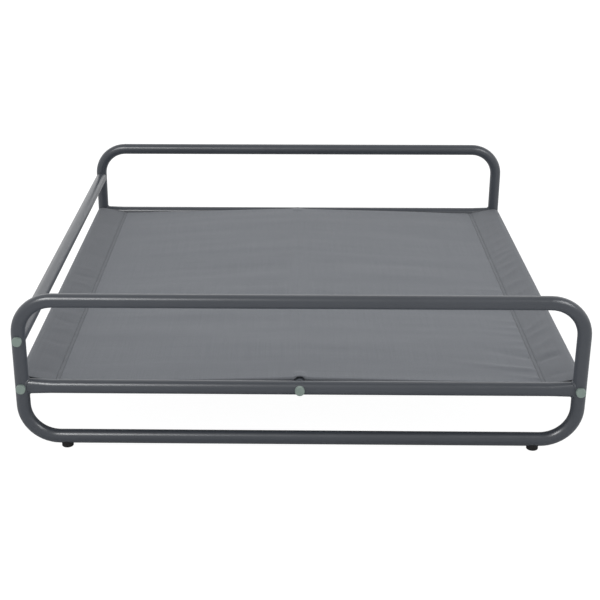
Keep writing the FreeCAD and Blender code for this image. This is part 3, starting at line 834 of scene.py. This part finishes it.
def make_weld_bead(name, side, end, material):
    """The fillet weld where a deck bar's flattened end meets an upright, with its ripples."""
    stations, sides = BEAD_STATIONS, BEAD_SIDES
    centre = Vector((0.0, end * LOOP_Y, DECK_HEIGHT))
    route = []
    for i in range(stations):
        angle = 2 * math.pi * i / stations
        y = PRESSED_HALF_WIDTH * math.cos(angle)
        z = PRESSED_HALF_HEIGHT * math.sin(angle)
        x = LOOP_X - math.sqrt(TUBE_RADIUS ** 2 - y ** 2)
        route.append(centre + Vector((side * x, y, z)))
    vertices = []
    faces = []
    for i, middle in enumerate(route):
        along = (route[(i + 1) % stations] - route[i - 1]).normalized()
        outward = Vector((0.0, middle.y - centre.y, middle.z - centre.z)).normalized()
        inward = along.cross(outward).normalized()
        ripple = abs(math.sin(math.pi * BEAD_RIPPLES * i / stations)) ** 0.7
        size = BEAD_RADIUS + BEAD_RIPPLE * (ripple - 0.5)
        size *= 1.0 + BEAD_UNEVENNESS * perlin((i / 9.0, 4.0 * side, 4.0 * end))
        for k in range(sides):
            angle = 2 * math.pi * k / sides
            vertices.append(middle + (outward * math.cos(angle) + inward * math.sin(angle)) * size)
    for i in range(stations):
        for k in range(sides):
            a = i * sides + k
            b = i * sides + (k + 1) % sides
            c = ((i + 1) % stations) * sides + (k + 1) % sides
            d = ((i + 1) % stations) * sides + k
            faces.append((a, b, c, d))
    bead = mesh_object(name, vertices, faces)
    normals_out = bmesh.new()
    normals_out.from_mesh(bead.data)
    bmesh.ops.recalc_face_normals(normals_out, faces=normals_out.faces)
    normals_out.to_mesh(bead.data)
    normals_out.free()
    shade_smooth(bead)
    give_material(bead, material)
    return bead


# ---------------------------------------------------------------- camera, lights, floor

CAMERA_PLACE = Vector((-0.01318, -1.87559, 0.81687))
CAMERA_YAW, CAMERA_PITCH, CAMERA_ROLL = 0.0179, 0.3769, -0.0015
LENS, SENSOR = 73.64, 36.0
SHIFT_X, SHIFT_Y = 0.05, -0.0117


def make_camera():
    data = bpy.data.cameras.new("camera")
    data.lens = LENS
    data.sensor_width = SENSOR
    data.shift_x = SHIFT_X
    data.shift_y = SHIFT_Y
    data.clip_end = 200.0
    camera = bpy.data.objects.new("camera", data)
    bpy.context.scene.collection.objects.link(camera)
    ahead = Vector((
        -math.sin(CAMERA_YAW) * math.cos(CAMERA_PITCH),
        math.cos(CAMERA_YAW) * math.cos(CAMERA_PITCH),
        -math.sin(CAMERA_PITCH),
    ))
    level = Vector((math.cos(CAMERA_YAW), math.sin(CAMERA_YAW), 0.0))
    up = level.cross(ahead)
    across = math.cos(CAMERA_ROLL) * level + math.sin(CAMERA_ROLL) * up
    over = -math.sin(CAMERA_ROLL) * level + math.cos(CAMERA_ROLL) * up
    turn = Matrix((across, over, -ahead)).transposed()
    camera.matrix_world = Matrix.Translation(CAMERA_PLACE) @ turn.to_4x4()
    bpy.context.scene.camera = camera


def softbox(name, place, aim, width, height, watts):
    """A rectangular white light that shows in glossy reflections only."""
    data = bpy.data.lights.new(name, "AREA")
    data.shape = "RECTANGLE"
    data.size = width
    data.size_y = height
    data.energy = watts
    light = bpy.data.objects.new(name, data)
    bpy.context.scene.collection.objects.link(light)
    light.location = place
    light.rotation_euler = (Vector(aim) - Vector(place)).to_track_quat("-Z", "Y").to_euler()
    light.visible_diffuse = False


def make_lights():
    """A softbox high in front on the left, which draws the bright line along the tubes, and a
    weaker one on the right, which draws the soft line on the bends.

    The pale surroundings light the bed, so nothing casts a hard shadow.
    """
    middle = (0.0, 0.0, DECK_HEIGHT)
    softbox("key", (-1.10, -1.75, 2.10), middle, 1.15, 0.62, 54.0)
    softbox("fill", (1.55, -1.25, 1.70), middle, 1.00, 0.80, 24.0)


WORLD_STOPS = (
    # height of the direction as a sine, brightness
    (-1.0, 0.0),
    (-0.02, 0.0),
    (0.02, 1.00),
    (0.45, 0.88),
    (1.0, 0.52),
)
FRONT_LEVEL, BACK_LEVEL = 0.68, 1.52


def make_world():
    """Pale surroundings: brightest at the back and at eye level, and nothing below the floor."""
    world = bpy.data.worlds.new("studio")
    world.use_nodes = True
    bpy.context.scene.world = world
    tree = world.node_tree
    tree.nodes.clear()
    direction = tree.nodes.new("ShaderNodeTexCoord")
    split = tree.nodes.new("ShaderNodeSeparateXYZ")
    tree.links.new(direction.outputs["Generated"], split.inputs["Vector"])
    height = tree.nodes.new("ShaderNodeMapRange")
    height.inputs["From Min"].default_value = -1.0
    height.inputs["From Max"].default_value = 1.0
    tree.links.new(split.outputs["Z"], height.inputs["Value"])
    ramp = tree.nodes.new("ShaderNodeValToRGB")
    elements = ramp.color_ramp.elements
    for _ in WORLD_STOPS[2:]:
        elements.new(0.5)
    for element, (sine, level) in zip(elements, WORLD_STOPS):
        element.position = (sine + 1.0) / 2.0
        element.color = (level, level, level, 1.0)
    tree.links.new(height.outputs["Result"], ramp.inputs["Fac"])
    depth = tree.nodes.new("ShaderNodeMapRange")
    depth.inputs["From Min"].default_value = -1.0
    depth.inputs["From Max"].default_value = 1.0
    depth.inputs["To Min"].default_value = FRONT_LEVEL
    depth.inputs["To Max"].default_value = BACK_LEVEL
    tree.links.new(split.outputs["Y"], depth.inputs["Value"])
    background = tree.nodes.new("ShaderNodeBackground")
    tree.links.new(ramp.outputs["Color"], background.inputs["Color"])
    tree.links.new(depth.outputs["Result"], background.inputs["Strength"])
    output = tree.nodes.new("ShaderNodeOutputWorld")
    tree.links.new(background.outputs["Background"], output.inputs["Surface"])


TABLE_GLOW, TABLE_SHARE, TABLE_TONE = 1.24, 0.22, 0.9
BOUNCE_TONE, BOUNCE_HEIGHT = 0.88, -0.0005
DOME_GLOW = 1.0
STAGE_RADIUS = 40.0


def stage_material(name, glow_strength, matt_share, matt_tone):
    """Plain surface that glows and is matt, in the shares given, as a lit table is."""
    material = bpy.data.materials.new(name)
    material.use_nodes = True
    tree = material.node_tree
    tree.nodes.clear()
    glow = tree.nodes.new("ShaderNodeEmission")
    glow.inputs["Strength"].default_value = glow_strength
    matt = tree.nodes.new("ShaderNodeBsdfDiffuse")
    matt.inputs["Color"].default_value = (matt_tone, matt_tone, matt_tone, 1.0)
    blend = tree.nodes.new("ShaderNodeMixShader")
    blend.inputs[0].default_value = matt_share
    output = tree.nodes.new("ShaderNodeOutputMaterial")
    tree.links.new(glow.outputs["Emission"], blend.inputs[1])
    tree.links.new(matt.outputs["BSDF"], blend.inputs[2])
    tree.links.new(blend.outputs["Shader"], output.inputs["Surface"])
    return material


def disc(name, height, material):
    sides = 64
    angles = [2 * math.pi * i / sides for i in range(sides)]
    outline = [(STAGE_RADIUS * math.cos(a), STAGE_RADIUS * math.sin(a), height) for a in angles]
    plane = mesh_object(name, outline, [tuple(range(sides))])
    give_material(plane, material)
    return plane


def make_stage():
    """A pale table and dome that only the camera sees, and a floor for the light to bounce off.

    The table glows, so its shadows are faint; the bounce floor is unseen and takes full shadows.
    """
    lit = stage_material("lit_table", TABLE_GLOW, TABLE_SHARE, TABLE_TONE)
    matt = stage_material("dim_floor", 0.0, 1.0, BOUNCE_TONE)
    pale = stage_material("pale_dome", DOME_GLOW, 0.0, TABLE_TONE)
    table = disc("stage_floor", 0.0, lit)
    bounce = disc("stage_bounce", BOUNCE_HEIGHT, matt)
    shape = bmesh.new()
    bmesh.ops.create_uvsphere(shape, u_segments=48, v_segments=24, radius=STAGE_RADIUS)
    data = bpy.data.meshes.new("stage_dome")
    shape.to_mesh(data)
    shape.free()
    dome = bpy.data.objects.new("stage_dome", data)
    bpy.context.scene.collection.objects.link(dome)
    give_material(dome, pale)
    for seen in (table, dome):
        seen.visible_diffuse = False
        seen.visible_glossy = False
        seen.visible_shadow = False
    bounce.visible_camera = False


# ---------------------------------------------------------------- everything

bpy.context.scene.view_settings.view_transform = "Standard"
make_camera()
make_world()
make_lights()
make_stage()

FINISHES = {
    "frame_paint": paint_material(),
    "zinc_steel": steel_material(),
    "cap_plastic": cap_material(),
    "foot_plastic": foot_material(),
}
for part in frame["record"]["subparts"]:
    if part["material_slot"] in FINISHES:
        cad_object = frame["nodes"][part["node"]]
        cad_object.material_slots[0].material = FINISHES[part["material_slot"]]

sling = make_sling(cloth_material())
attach(sling, "root")
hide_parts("sling")

thread = thread_material()
stitches = [make_stitches(side, thread) for side in (-1, 1)]
for row in stitches:
    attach(row, "root")

for end_word, end in (("front", -1), ("rear", 1)):
    for side_word, side in (("left", -1), ("right", 1)):
        bead = make_weld_bead(f"{end_word}_{side_word}_weld", side, end, FINISHES["frame_paint"])
        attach(bead, "root")
